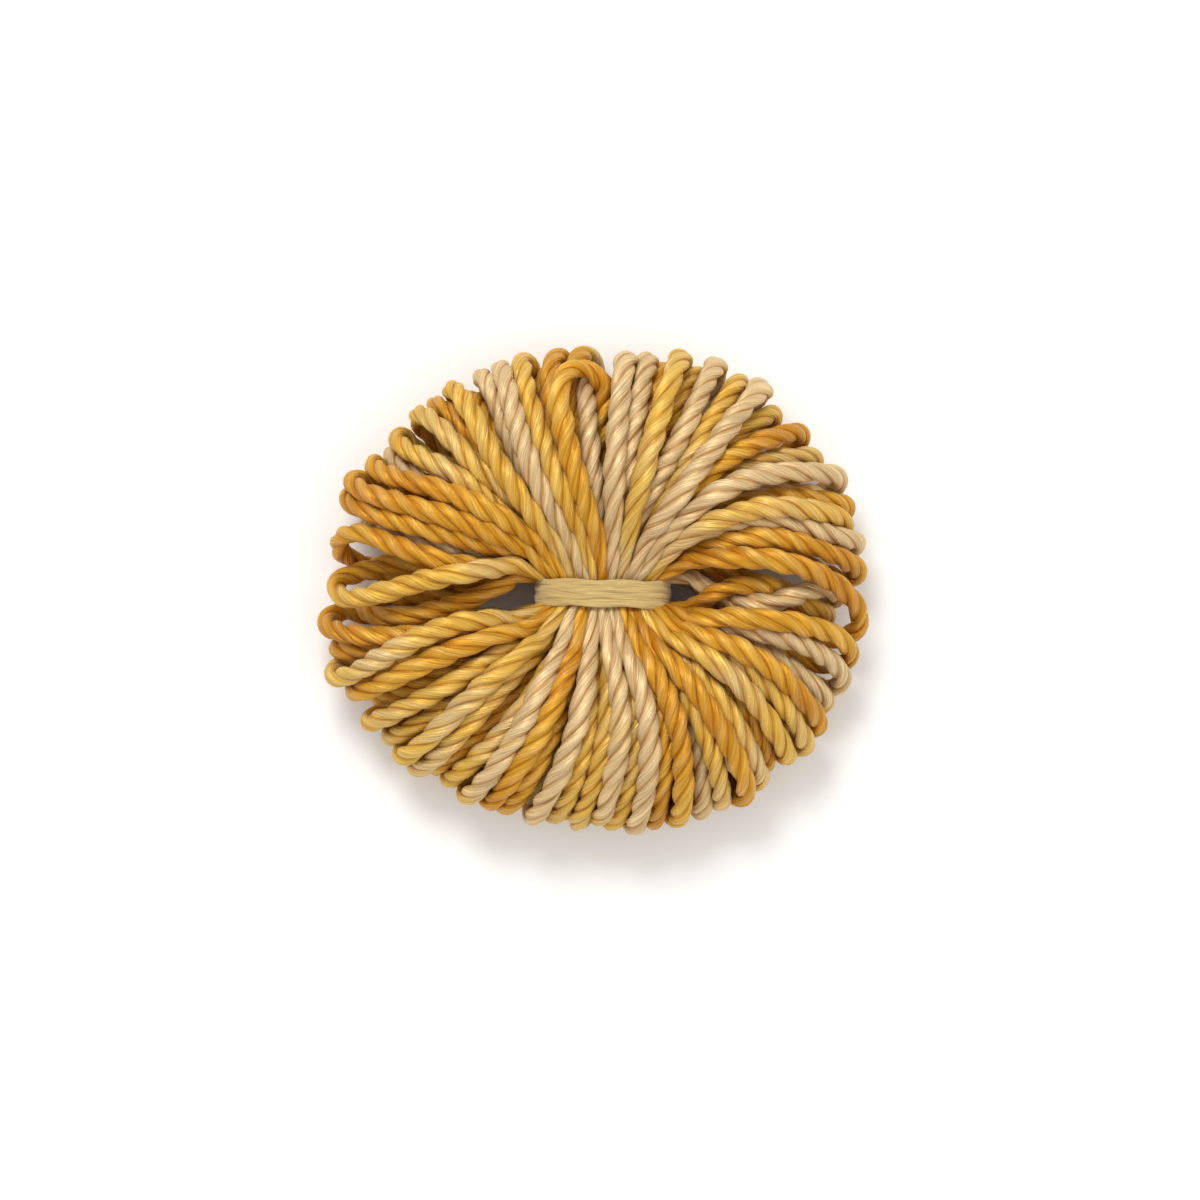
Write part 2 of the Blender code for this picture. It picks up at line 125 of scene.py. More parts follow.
def smooth_route(knots: np.ndarray, samples: int = 12) -> np.ndarray:
    """Draw a Catmull-Rom curve through knots.

    Args:
        knots: the points that the curve passes through.
        samples: points on each stretch between two knots.

    Returns:
        Closely spaced points of the curve.
    """
    ends = np.vstack([2 * knots[0] - knots[1], knots, 2 * knots[-1] - knots[-2]])
    shares = np.linspace(0.0, 1.0, samples, endpoint=False)[:, None]
    pieces = []
    for before, start, end, after in zip(ends, ends[1:], ends[2:], ends[3:]):
        pieces.append(0.5 * (2 * start + (end - before) * shares
                             + (2 * before - 5 * start + 4 * end - after) * shares ** 2
                             + (3 * start - before - 3 * end + after) * shares ** 3))
    return np.vstack(pieces + [knots[-1:]])


def carried_frames(points: np.ndarray, first_up: np.ndarray) -> tuple[np.ndarray, np.ndarray]:
    """Carry an upright direction along a route without letting it twist.

    Args:
        points: the route's points.
        first_up: the direction to start from.

    Returns:
        The up and the sideways direction at each point.
    """
    tangents = np.gradient(points, axis=0)
    tangents /= np.linalg.norm(tangents, axis=1, keepdims=True)
    ups = np.zeros_like(points)
    up = first_up
    for place, tangent in enumerate(tangents):
        up = up - tangent * up.dot(tangent)
        up = up / np.linalg.norm(up)
        ups[place] = up
    return ups, np.cross(tangents, ups)


def slow_waves(places: np.ndarray, waves: tuple[float, ...], chance: np.random.Generator) -> np.ndarray:
    """Smooth unevenness along a thread.

    Args:
        places: distances along it, in millimetres.
        waves: wavelengths to mix, in millimetres.
        chance: source of the waves' starting points.

    Returns:
        Values about zero, seldom past one.
    """
    starts = chance.uniform(0.0, 2 * math.pi, len(waves))
    parts = [np.sin(2 * math.pi * places / wave + start) for wave, start in zip(waves, starts)]
    return np.sum(parts, axis=0) / math.sqrt(len(waves))


def nearness(distances: np.ndarray, length: float) -> np.ndarray:
    """One at no distance, falling smoothly to nought over about that length."""
    return np.exp(-(distances / length) ** 2)


class Tier(Enum):
    """A loop's place in the pile: rows of the waist, heights along its way, and its cord's thickness."""

    ARCH = (0, 3, 8.6, 8.6, 8.0, 6.9, 6.0, 4.0, 1.14)
    TOP = (0, 3, 8.5, 8.3, 6.7, 4.2, 2.4, 2.8, 1.08)
    MIDDLE = (1, 4, 7.5, 7.7, 6.2, 3.7, 1.5, 1.9, 1.03)
    LOW = (2, 5, 5.7, 6.5, 5.4, 3.0, 0.8, 1.0, 1.0)

    def __init__(self, out_row: int, back_row: int, near: float, crown: float, shoulder: float,
                 tip: float, under: float, back: float, girth: float) -> None:
        """Name the tier's values.

        Args:
            out_row: row of the waist that the strand on top leaves.
            back_row: row that the strand beneath comes back to.
            near: height of the strand on top at a third of its way.
            crown: its height at two thirds.
            shoulder: its height just before the tip.
            tip: height of the tip.
            under: height of the strand beneath just after the tip.
            back: its height nearer the waist.
            girth: thickness of the cord where it is free to swell, as a share of a low loop's.
        """
        self.out_row, self.back_row = out_row, back_row
        self.near, self.crown, self.shoulder = near, crown, shoulder
        self.tip, self.under, self.back, self.girth = tip, under, back, girth


class Dye(Enum):
    """Depth of the space dye, as its place on the silk's run of colours."""

    CHAMPAGNE = 0.06
    STRAW = 0.46
    GOLD = 0.84


# Short names for the two tables of loops.
A, T, M, L = Tier.ARCH, Tier.TOP, Tier.MIDDLE, Tier.LOW
C, S, G = Dye.CHAMPAGNE, Dye.STRAW, Dye.GOLD


@dataclass(frozen=True)
class Loop:
    """One loop: its tip's bearing (degrees) and reach, its bulge anticlockwise, how far clockwise its
    return strand lies, the dye of its top strand and of its return strand, and how wide its tip opens."""

    tier: Tier
    bearing: float
    reach: float
    bow: float
    hook: float
    dye: Dye
    tail: Dye
    knob: float = 0.08


# Three loops to a column of the waist, clockwise, from the left-hand end.
UPPER_FAN = (
    Loop(T, 179, 19.1, -0.6, 2.3, S, G), Loop(L, 184, 17.0, 0.75, 1.6, G, G),
    Loop(M, 169.5, 19.1, 1.0, -2.6, G, G),
    Loop(L, 164, 17.4, 0.0, 0.8, C, C), Loop(M, 159.5, 19.4, 0.0, 1.2, G, G),
    Loop(T, 156, 19.6, -0.6, 1.2, G, G),
    Loop(T, 150.5, 18.8, -1.2, 1.2, G, G), Loop(L, 148, 17.8, -0.6, 0.8, C, C),
    Loop(M, 144, 18.3, -1.0, 0.4, S, S),
    Loop(M, 136.5, 18.3, 0.2, -1.3, S, S), Loop(L, 131.5, 18.0, 0.2, -1.0, G, G),
    Loop(T, 127, 18.1, 0.6, -1.0, S, G),
    Loop(L, 123, 16.6, 0.4, 0.6, G, G), Loop(M, 119.5, 17.7, 0.6, -0.9, C, C),
    Loop(T, 114.5, 17.6, 0.7, -0.9, C, C),
    Loop(T, 109, 17.5, 0.4, 1.9, S, G), Loop(L, 105, 16.2, 0.2, 0.6, G, G),
    Loop(M, 101, 17.1, 0.6, 1.5, G, G),
    Loop(L, 94, 17.1, 0.4, 1.7, G, C), Loop(A, 97, 16.1, 0.4, 3.2, G, G),
    Loop(M, 93.5, 15.7, 0.2, 0.6, C, C),
    Loop(T, 84, 16.8, 0.2, 0.4, C, C, 0.35), Loop(M, 78.5, 16.9, 0.2, 0.3, C, S, 0.25),
    Loop(L, 74, 16.6, 0.3, 0.5, G, G),
    Loop(T, 71.5, 17.7, 0.3, 0.3, S, G, 0.3), Loop(L, 67, 17.0, 0.3, 0.8, G, C),
    Loop(M, 63.5, 18.1, -0.2, 0.3, C, C, 0.2),
    Loop(M, 57, 17.9, 0.3, 0.3, S, S), Loop(T, 52, 18.6, 0.2, 0.4, C, C, 0.4),
    Loop(L, 46, 17.6, 0.8, 1.2, S, G),
    Loop(M, 38.5, 18.1, 1.7, 1.6, G, G), Loop(L, 32, 18.0, 1.9, 1.6, S, S),
    Loop(T, 25.5, 18.7, 2.3, 1.8, C, C),
    Loop(L, 19, 18.5, 2.0, 1.6, G, G), Loop(T, 15, 17.9, 2.2, 1.3, S, S), Loop(M, 11, 18.5, 2.2, 1.6, C, C),
    Loop(M, 4.5, 18.3, 2.2, 1.8, G, G), Loop(T, -6.5, 18.3, 1.7, 4.0, G, G),
    Loop(L, -1.5, 16.7, -1.4, 1.6, C, C),
)
# The same, clockwise from the right-hand end.
LOWER_FAN = (
    Loop(L, -6, 16.0, 1.6, 1.2, G, C), Loop(T, -14.5, 18.1, 0.6, 2.6, G, G),
    Loop(M, -21, 18.1, 0.8, 2.8, C, C),
    Loop(L, -26, 17.7, 0.9, 1.2, C, G), Loop(T, -32, 18.1, 1.2, 1.6, G, G),
    Loop(M, -37.5, 18.2, 1.5, 1.4, S, S),
    Loop(T, -42.5, 17.6, 1.3, 1.3, S, S), Loop(L, -46, 17.0, 1.2, 1.2, G, G),
    Loop(M, -50.5, 17.5, 0.8, 1.2, S, S),
    Loop(T, -56, 17.8, 0.8, 1.9, G, G), Loop(M, -61.5, 17.1, 1.1, 1.2, S, S),
    Loop(L, -65, 17.0, 1.1, 1.2, C, C),
    Loop(L, -69, 16.2, 1.2, 1.2, G, G), Loop(T, -72, 17.1, 1.4, 1.5, G, S),
    Loop(M, -77.5, 16.4, 1.3, 1.4, G, G),
    Loop(L, -80, 15.8, 1.2, 1.2, S, G), Loop(T, -83, 16.9, 1.5, 1.5, C, C),
    Loop(M, -87, 15.9, 1.3, 1.4, S, S),
    Loop(L, -89, 15.6, 1.1, 1.0, C, S), Loop(T, -91.5, 16.2, 1.2, 1.0, C, S),
    Loop(M, -95.5, 16.0, 0.9, 0.9, S, S),
    Loop(L, -99, 15.8, 0.8, 0.8, G, G), Loop(M, -101.5, 16.1, 0.7, 0.9, S, S),
    Loop(T, -107.5, 16.9, 1.0, 0.9, C, C),
    Loop(L, -111, 16.0, 0.5, 0.8, S, S), Loop(M, -113.5, 16.5, 0.5, 0.9, G, G),
    Loop(T, -118.5, 17.1, 0.6, 0.9, G, G),
    Loop(T, -124, 17.6, 0.8, 1.0, C, S), Loop(M, -130, 17.3, 1.0, 0.9, S, S),
    Loop(L, -134, 17.3, 0.5, 0.8, G, G),
    Loop(M, -136.5, 18.2, 0.1, 0.9, S, S), Loop(T, -141, 18.6, -0.2, 0.9, S, S),
    Loop(L, -146, 18.4, 0.2, 0.9, S, S),
    Loop(M, -151, 19.1, 0.3, 0.6, S, G), Loop(L, -155, 17.6, 0.3, 0.8, G, G),
    Loop(T, -158.5, 19.2, -0.5, 1.0, G, G),
    Loop(T, -163, 20.2, -1.4, 1.4, S, S), Loop(L, -168, 19.4, 0.3, 1.0, G, G),
    Loop(M, -174, 19.9, 0.7, 2.0, G, G),
)


@dataclass(frozen=True)
class SilkCordFinish:
    """Reeled silk, thrown and plied into a three-ply cord, space-dyed before winding.

    Long unbroken filaments lie side by side along each ply, so light runs across them in a soft bright
    band. Painted shade darkens the colour where two plies meet, and a painted highlight makes each ply's crown paler.
    """

    champagne: str = "dabb8c"
    straw: str = "deb24a"
    gold: str = "d69a1c"
    amber: str = "c6830f"
    # painted shade: a darker colour multiplied in at the bottom of the grooves between plies
    painted_groove_shade: str = "d2ac74"
    painted_crest_highlight: str = "fdf0c0"        # painted highlight: the crown of each ply is mixed towards this pale colour
    glint: str = "ffe6ac"        # light that comes back out of the dyed filaments
    filament_mm: float = 0.075   # real filaments are finer; they are drawn as fine bundles that still show
    filament_length_mm: float = 2.6
    filament_spread: float = 7.3     # how far apart the noise takes two plies
    bundle_mm: float = 0.24
    bundle_length_mm: float = 3.4
    bundle_spread: float = 3.1
    noise_range: tuple[float, float] = (0.3, 0.7)    # what the noises seldom go past
    dye_stray: float = 0.09          # how far the dye of a bundle strays along the run of colours
    groove_shade_power: float = 4.0             # power that keeps the painted groove shade to the bottom of the grooves
    # painted highlight at each ply's crown: how much is mixed in, and how deep in a groove it has faded out
    painted_highlight_amount: float = 0.1
    painted_highlight_depth: float = 0.3
    lustre: tuple[float, float] = (0.7, 1.24)        # brightness of the dullest and brightest filaments
    relief_mm: float = 0.12
    scatter_mm: float = 0.7          # how far light goes inside the silk
    roughness: float = 0.37

    def material(self) -> bpy.types.Material:
        """Build the cord's material.

        Returns:
            The material, which reads the cord's own "fibre", "dye" and "groove" attributes.
        """
        material, tree = new_material("Three-ply twisted silk cord, space-dyed")
        fibre = add_node(tree, "ShaderNodeAttribute", {"attribute_name": "fibre"})
        filaments = self.streaks(tree, fibre, self.filament_mm, self.filament_length_mm,
                                 self.filament_spread)
        bundles = self.streaks(tree, fibre, self.bundle_mm, self.bundle_length_mm, self.bundle_spread)
        lowest, highest = self.noise_range
        dye = add_node(tree, "ShaderNodeAttribute", {"attribute_name": "dye"})
        shift = add_node(tree, "ShaderNodeMapRange", {
            "From Min": lowest, "From Max": highest, "To Min": -self.dye_stray, "To Max": self.dye_stray}, {
            0: bundles.outputs[0]})
        place = add_node(tree, "ShaderNodeMath", {"operation": "ADD", "use_clamp": True}, {
            0: dye.outputs["Fac"], 1: shift.outputs[0]})
        ramp = add_node(tree, "ShaderNodeValToRGB", {}, {0: place.outputs[0]})
        stops = ((0.0, self.champagne), (0.2, self.champagne), (0.46, self.straw), (0.8, self.gold),
                 (1.0, self.amber))
        for number, (position, colour) in enumerate(stops):
            stop = ramp.color_ramp.elements[number] if number < 2 else ramp.color_ramp.elements.new(position)
            stop.position = position
            stop.color = linear(colour)
        # painted shade: the colour is darkened at the bottom of the grooves between plies, by groove depth alone
        depth = add_node(tree, "ShaderNodeAttribute", {"attribute_name": "groove"})
        groove_shade_mask = add_node(tree, "ShaderNodeMath", {"operation": "POWER", 1: self.groove_shade_power}, {
            0: depth.outputs["Fac"]})
        painted_groove_shade = add_node(tree, "ShaderNodeMix", {"data_type": "RGBA", "blend_type": "MULTIPLY", 7: linear(
            self.painted_groove_shade)}, {0: groove_shade_mask.outputs[0], 6: ramp.outputs[0]})
        # painted highlight: the colour is mixed paler at the crown of each ply, by groove depth alone
        painted_highlight_amount = add_node(tree, "ShaderNodeMapRange", {
            "From Min": 0.0, "From Max": self.painted_highlight_depth, "To Min": self.painted_highlight_amount, "To Max": 0.0}, {
            0: depth.outputs["Fac"]})
        painted_crest_highlight = add_node(tree, "ShaderNodeMix", {"data_type": "RGBA", 7: linear(self.painted_crest_highlight)}, {
            0: painted_highlight_amount.outputs[0], 6: painted_groove_shade.outputs[2]})
        lustre = add_node(tree, "ShaderNodeMapRange", {
            "From Min": lowest, "From Max": highest, "To Min": self.lustre[0], "To Max": self.lustre[1]}, {
            0: filaments.outputs[0]})
        streaked = add_node(tree, "ShaderNodeVectorMath", {"operation": "SCALE"}, {
            0: painted_crest_highlight.outputs[2], "Scale": lustre.outputs[0]})
        bump = add_node(tree, "ShaderNodeBump", {"Strength": 1.0, "Distance": self.relief_mm * MM}, {
            "Height": filaments.outputs[0]})
        shader = add_node(tree, "ShaderNodeBsdfPrincipled", {
            "Roughness": self.roughness, "IOR": 1.54, "Specular IOR Level": 0.75, "Anisotropic": 0.8,
            "Metallic": 0.3, "Specular Tint": linear(self.glint), "Sheen Weight": 0.2, "Sheen Roughness": 0.4,
            "Sheen Tint": linear(self.glint), "Subsurface Weight": 0.5,
            "Subsurface Radius": (1.0, 0.7, 0.3), "Subsurface Scale": self.scatter_mm * MM}, {
            "Base Color": streaked.outputs[0], "Normal": bump.outputs[0]})
        across = add_node(tree, "ShaderNodeTangent", {"direction_type": "UV_MAP", "uv_map": "ply"})
        tree.links.new(across.outputs[0], shader.inputs["Tangent"])
        add_node(tree, "ShaderNodeOutputMaterial", {}, {0: shader.outputs[0]})
        return material

    def streaks(self, tree: bpy.types.NodeTree, fibre: bpy.types.Node, width: float, length: float,
                spread: float) -> bpy.types.Node:
        """Add a noise that is drawn out along the plies.

        Args:
            tree: the material's node tree.
            fibre: the node that gives the place across the ply, along the cord, and the ply's number.
            width: how wide a streak is, in millimetres.
            length: how long a streak is, in millimetres.
            spread: how far apart the noise takes two plies.

        Returns:
            The noise.
        """
        stretch = add_node(tree, "ShaderNodeMapping", {"Scale": (1 / width, 1 / length, spread)}, {
            0: fibre.outputs["Vector"]})
        return add_node(tree, "ShaderNodeTexNoise", {"Scale": 1.0, "Detail": 2.0, "Roughness": 0.55}, {
            "Vector": stretch.outputs[0]})


@dataclass(frozen=True)
class SoftYarnFinish:
    """Soft-spun silk yarn, hardly twisted, so its loose fibres give a dull, slightly furry straw surface."""

    straw: str = "dbc07a"
    shade: str = "b08846"
    fibre_mm: float = 0.06       # bundles of fibre, drawn coarse enough to show
    bundle_length_mm: float = 2.4
    strand_spread: float = 5.1   # how far apart the noise takes two turns of yarn
    relief_mm: float = 0.1

    def material(self) -> bpy.types.Material:
        """Build the yarn's material.

        Returns:
            The material, which reads the yarn's own "fibre" attribute.
        """
        material, tree = new_material("Soft-spun pale silk yarn")
        fibre = add_node(tree, "ShaderNodeAttribute", {"attribute_name": "fibre"})
        stretch = add_node(tree, "ShaderNodeMapping", {
            "Scale": (1 / self.fibre_mm, 1 / self.bundle_length_mm, self.strand_spread)}, {0: fibre.outputs["Vector"]})
        fibres = add_node(tree, "ShaderNodeTexNoise", {
            "Scale": 1.0, "Detail": 4.0, "Roughness": 0.65, "Distortion": 0.4}, {
            "Vector": stretch.outputs[0]})
        tint = add_node(tree, "ShaderNodeValToRGB", {}, {0: fibres.outputs[0]})
        for stop, position, colour in zip(tint.color_ramp.elements, (0.3, 0.62), (self.shade, self.straw)):
            stop.position = position
            stop.color = linear(colour)
        bump = add_node(tree, "ShaderNodeBump", {"Strength": 0.9, "Distance": self.relief_mm * MM}, {
            "Height": fibres.outputs[0]})
        shader = add_node(tree, "ShaderNodeBsdfPrincipled", {
            "Roughness": 0.68, "IOR": 1.5, "Sheen Weight": 0.4, "Sheen Roughness": 0.5}, {
            "Base Color": tint.outputs[0], "Normal": bump.outputs[0]})
        add_node(tree, "ShaderNodeOutputMaterial", {}, {0: shader.outputs[0]})
        return material


@dataclass(frozen=True)
class PaleFloorFinish:
    """Matt white paper sweep under the tuft, with the faintest tooth."""

    white: str = "fbfaf8"
    grains_across: float = 900.0     # one every 3.3 mm of a floor 3 m wide
    relief_mm: float = 0.02

    def material(self) -> bpy.types.Material:
        """Build the floor's material.

        Returns:
            The material.
        """
        material, tree = new_material("Matt white paper")
        tooth = add_node(tree, "ShaderNodeTexNoise", {"Scale": self.grains_across, "Detail": 2.0})
        bump = add_node(tree, "ShaderNodeBump", {"Strength": 0.05, "Distance": self.relief_mm * MM}, {
            "Height": tooth.outputs[0]})
        shader = add_node(tree, "ShaderNodeBsdfPrincipled", {
            "Base Color": linear(self.white), "Roughness": 0.9}, {"Normal": bump.outputs[0]})
        add_node(tree, "ShaderNodeOutputMaterial", {}, {0: shader.outputs[0]})
        return material


@dataclass
class Sweep:
    """The growing arrays of one mesh that is swept along threads."""

    points: list[np.ndarray] = field(default_factory=list)
    quads: list[np.ndarray] = field(default_factory=list)
    fibre: list[np.ndarray] = field(default_factory=list)
    dye: list[np.ndarray] = field(default_factory=list)
    groove: list[np.ndarray] = field(default_factory=list)
    caps: list[list[int]] = field(default_factory=list)
    size: int = 0

    def add(self, rings: np.ndarray, across: np.ndarray, along: np.ndarray, thread: np.ndarray,
            dye: np.ndarray, groove: np.ndarray) -> None:
        """Add a closed tube.

        Args:
            rings: its points, [ring, place round the ring, xyz].
            across: distance across the ply at the start and the end of each side of a ring, [side, 2].
            along: distance along the thread of each ring.
            thread: number of the ply that each side of a ring belongs to.
            dye: dye depth at each ring.
            groove: how deep in a groove each point lies, [ring, place].
        """
        count, sides, _ = rings.shape
        first = self.size + np.arange(count - 1)[:, None] * sides + np.arange(sides)[None, :]
        after = self.size + np.arange(count - 1)[:, None] * sides + (np.arange(sides)[None, :] + 1) % sides
        quads = np.stack([first, after, after + sides, first + sides], axis=-1)
        fibre = np.zeros((count - 1, sides, 4, 3))
        fibre[..., 0] = across[None, :, [0, 1, 1, 0]]
        fibre[..., 1] = np.stack([along[:-1], along[:-1], along[1:], along[1:]], axis=-1)[:, None, :]
        fibre[..., 2] = thread[None, :, None]
        self.points.append(rings.reshape(-1, 3))
        self.quads.append(quads.reshape(-1, 4))
        self.fibre.append(fibre.reshape(-1, 3))
        self.dye.append(np.repeat(dye, sides))
        self.groove.append(groove.reshape(-1))
        self.caps.append(list(range(self.size + sides - 1, self.size - 1, -1)))
        self.caps.append(list(range(self.size + (count - 1) * sides, self.size + count * sides)))
        self.size += count * sides

    def finish(self, name: str, material: bpy.types.Material, slot: str, node: str) -> bpy.types.Object:
        """Make the mesh, and let it ride on the part in place of a plain solid.

        Args:
            name: the piece's name.
            material: its material.
            slot: not used.
            node: the solid that it stands for.

        Returns:
            The new piece.
        """
        quads = np.concatenate(self.quads)
        data = bpy.data.meshes.new(name)
        data.from_pydata((np.concatenate(self.points) * MM).tolist(), [], quads.tolist() + self.caps)
        corners = np.concatenate(self.fibre)
        cap_corners = np.zeros((len(data.loops) - len(corners), 3))
        corners = np.vstack([corners, cap_corners]).astype(np.float32)
        fibre = data.attributes.new("fibre", "FLOAT_VECTOR", "CORNER")
        fibre.data.foreach_set("vector", corners.ravel())
        for label, values in (("dye", self.dye), ("groove", self.groove)):
            layer = data.attributes.new(label, "FLOAT", "POINT")
            layer.data.foreach_set("value", np.concatenate(values).astype(np.float32))
        plies = data.uv_layers.new(name="ply")
        plies.uv.foreach_set("vector", np.ascontiguousarray(corners[:, :2]).ravel())
        data.shade_smooth()
        data.materials.append(material)
        piece = bpy.data.objects.new(name, data)
        bpy.context.scene.collection.objects.link(piece)
        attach(piece, "root")
        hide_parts(node)
        log.info("%s: %d faces", name, len(data.polygons))
        return piece


@dataclass
class CordHank:
    """The hank of silk cord, squeezed at its waist and opened into two fans of loops."""

    finish: SilkCordFinish = field(default_factory=SilkCordFinish)
    fan_half_width: float = 4.45  # the roots' spread, just outside the binding
    fan_half_height: float = 2.95
    fan_end_share: float = 0.5
    waist_middle_z: float = 3.5
    dome_base_y: float = 1.6
    dome_rise: float = 0.4
    dome_samples: int = 241
    columns: int = 13
    rows: int = 6
    cord: float = 1.34           # room that one cord takes at its full thickness
    root_cord: float = 0.70      # room that it takes where the binding squeezes it
    swell: float = 9.0           # length over which a cord swells from one to the other
    lead: float = 0.8            # how far a strand goes before it turns freely
    lead_out: float = 0.35       # how much of that is straight away from the binding
    top_shares: tuple[float, float] = (0.36, 0.7)    # where the top strand is at its near and crown heights
    top_hooks: tuple[float, float] = (0.6, 1.0)      # how much of the hook it has taken there
    back_shares: tuple[float, float] = (0.66, 0.33)  # the same for the strand beneath, from the tip back
    back_hooks: tuple[float, float] = (-1.0, -0.6)
    back_sag: float = 0.1
    shoulder_setback: float = 1.5
    bulge_power: float = 0.7
    steps: int = 44              # points along a loop while it settles
    passes: int = 200
    relist: int = 8              # passes between two searches for cords that are near one another
    pull: float = 0.03           # share of the way back to its own route that a cord takes in a pass
    stiffness: float = 0.22
    push: float = 0.45           # share of an overlap that a pass takes off each of the two cords
    longest_step: float = 0.35   # longest way that a cord goes in a pass
    easing: float = 0.8          # share of the passes in which its stiffness and its own route still count
    least_gap: float = 1e-6      # keeps two points in one place from dividing by nought
    pair_reach: float = 1.35     # cords nearer than this share of a cord's room are looked at,
    pair_steps: int = 5          # and so are two stretches of one cord more than this many steps apart
    pair_block: int = 400
    draw: float = 0.8            # how far settling draws a loop's tip in
    floor_share: float = 0.4     # height of a resting cord's middle, as a share of its room
    clear_x: float = 4.75        # beside the binding, cords keep off its two faces
    clear_y: float = 1.1
    clear_z: float = 8.5
    clear_share: float = 0.36
    lead_in: float = 1.7         # how much of a route gives way to its straight run under the binding
    mouth: tuple[float, float] = (0.92, 0.95)    # share of the root's x, and y, where it goes under
    inmost: tuple[float, float] = (0.84, 0.15)   # the same where it ends
    lead_samples: int = 8
    root_depth: float = 1.3      # how far in under the binding a strand's first ring lies
    ring_spacing: float = 0.3
    first_seed: int = 100
    crowding: float = 0.13       # how much a cord overfills its room where it is pressed by its neighbours
    crowding_ends: float = 4.0   # how far from the tip that starts
    girth_ends: float = 1.5      # the same for its tier's thickness
    root_flare: float = 0.16     # how much it bulges as it leaves the binding
    flare_length: float = 2.5
    thickness_stray: float = 0.035
    thickness_waves: tuple[float, ...] = (3.1, 7.7)
    knob_length: float = 1.3     # how much of the tip opens wide
    lay: float = 5.2             # length of one whole turn of the plies
    lay_stray: tuple[float, float] = (0.88, 1.12)
    root_lay: float = 0.9        # how much longer the lay is pulled at the root
    root_lay_length: float = 4.0
    twist_stray: float = 0.22    # radians
    twist_waves: tuple[float, ...] = (5.3, 9.1)
    plies: int = 3
    ply_offset: float = 0.40     # distance of a ply's middle from the cord's, as a share of the cord's radius
    ply_size: float = 0.60       # radius of a ply, as the same share
    ply_places: tuple[float, ...] = (-60, -53, -40, -21, 0, 21, 40, 53)
    ply_stray: float = 0.05
    ply_waves: tuple[float, ...] = (2.3, 4.1, 8.9)
    ply_arc: float = 0.62        # distance across a ply for each radian round the cord, by its radius
    dye_fade: float = 0.9        # how gradually one dye gives way to the next,
    dye_change: tuple[float, float] = (-1.0, 1.5)    # and how far past the tip
    dye_stray: float = 0.11
    dye_waves: tuple[float, ...] = (9.0, 19.0)
    dye_lot: float = 0.06        # how far a whole loop's dye strays
    floor_gap: float = 0.02
    pattern_gap: float = 41.0    # how far apart two loops lie in the finish's pattern

    def waist_roots(self) -> np.ndarray:
        """Find where the strands leave the waist.

        Returns:
            Middles of the upper fan's roots, [column, row, xyz].
        """
        arc = np.linspace(math.pi, 0.0, self.dome_samples)
        dome = np.stack([self.fan_half_width * np.cos(arc),
                         self.dome_base_y + self.dome_rise * np.sin(arc), 0 * arc], axis=1)
        lines = fractions_of(dome, np.linspace(0.0, 1.0, self.columns + 1))
        fullness = np.sqrt(np.maximum(0.0, 1.0 - (lines[:, 0] / self.fan_half_width) ** 2))
        half = self.fan_half_height * (self.fan_end_share + (1.0 - self.fan_end_share) * fullness)
        heights = 1.0 - 2.0 * np.arange(self.rows + 1) / self.rows
        grid = np.zeros((self.columns + 1, self.rows + 1, 3))
        grid[..., :2] = lines[:, None, :2]
        grid[..., 2] = self.waist_middle_z + half[:, None] * heights[None, :]
        return (grid[:-1, :-1] + grid[1:, :-1] + grid[1:, 1:] + grid[:-1, 1:]) / 4

    def loop_route(self, roots: np.ndarray, fan: int, column: int, loop: Loop) -> np.ndarray:
        """Lay one loop's own route, before it settles: out on top, round the tip and back beneath.

        Args:
            roots: the upper fan's roots.
            fan: 0 for the upper fan, 1 for the lower one, which is laid half a turn round.
            column: the loop's column of the waist.
            loop: the loop.

        Returns:
            The route's points.
        """
        out_root = roots[column, loop.tier.out_row]
        back_root = roots[column, loop.tier.back_row]
        bearing = math.radians(loop.bearing + 180.0 * fan)
        radial = np.array((math.cos(bearing), math.sin(bearing), 0.0))
        turning = np.array((-radial[1], radial[0], 0.0))
        tip = radial * (loop.reach + self.draw - self.cord / 2)
        shoulder = tip - radial * self.shoulder_setback
        half_hook = turning * loop.hook / 2

        def on_the_way(root: np.ndarray, share: float, height: float, side: float) -> np.ndarray:
            """Find a point between a root and the shoulder, with the loop's bulge.

            Args:
                root: where the strand leaves the waist.
                share: how much of the way it has gone.
                height: its height there.
                side: how much of the hook it has taken.

            Returns:
                The point.
            """
            straight = root + (shoulder + side * half_hook - root) * share
            bulge = loop.bow * (4 * share * (1 - share)) ** self.bulge_power
            return np.array((*(straight + turning * bulge)[:2], height))

        def leaving(root: np.ndarray, towards: np.ndarray) -> np.ndarray:
            """Find a point just outside a root, heading partly straight out and partly on its way.

            Args:
                root: where the strand leaves the waist.
                towards: the next point of its way.

            Returns:
                The point.
            """
            way = towards - root
            way = way / np.linalg.norm(way) + (0.0, self.lead_out, 0.0)
            return root + way * self.lead / np.linalg.norm(way)

        near, crown = [on_the_way(out_root, share, height, side) for share, height, side
                       in zip(self.top_shares, (loop.tier.near, loop.tier.crown), self.top_hooks)]
        back_heights = (loop.tier.under - self.back_sag, loop.tier.back)
        under, back = [on_the_way(back_root, share, height, side) for share, height, side
                       in zip(self.back_shares, back_heights, self.back_hooks)]
        knots = [out_root, leaving(out_root, near), near, crown,
                 np.array((*(shoulder + half_hook)[:2], loop.tier.shoulder)),
                 np.array((*tip[:2], loop.tier.tip)),
                 np.array((*(shoulder - half_hook)[:2], loop.tier.under)),
                 under, back, leaving(back_root, back), back_root]
        route = fractions_of(smooth_route(np.array(knots)), np.linspace(0.0, 1.0, self.steps))
        return route * np.array((-1.0, -1.0, 1.0)) if fan else route

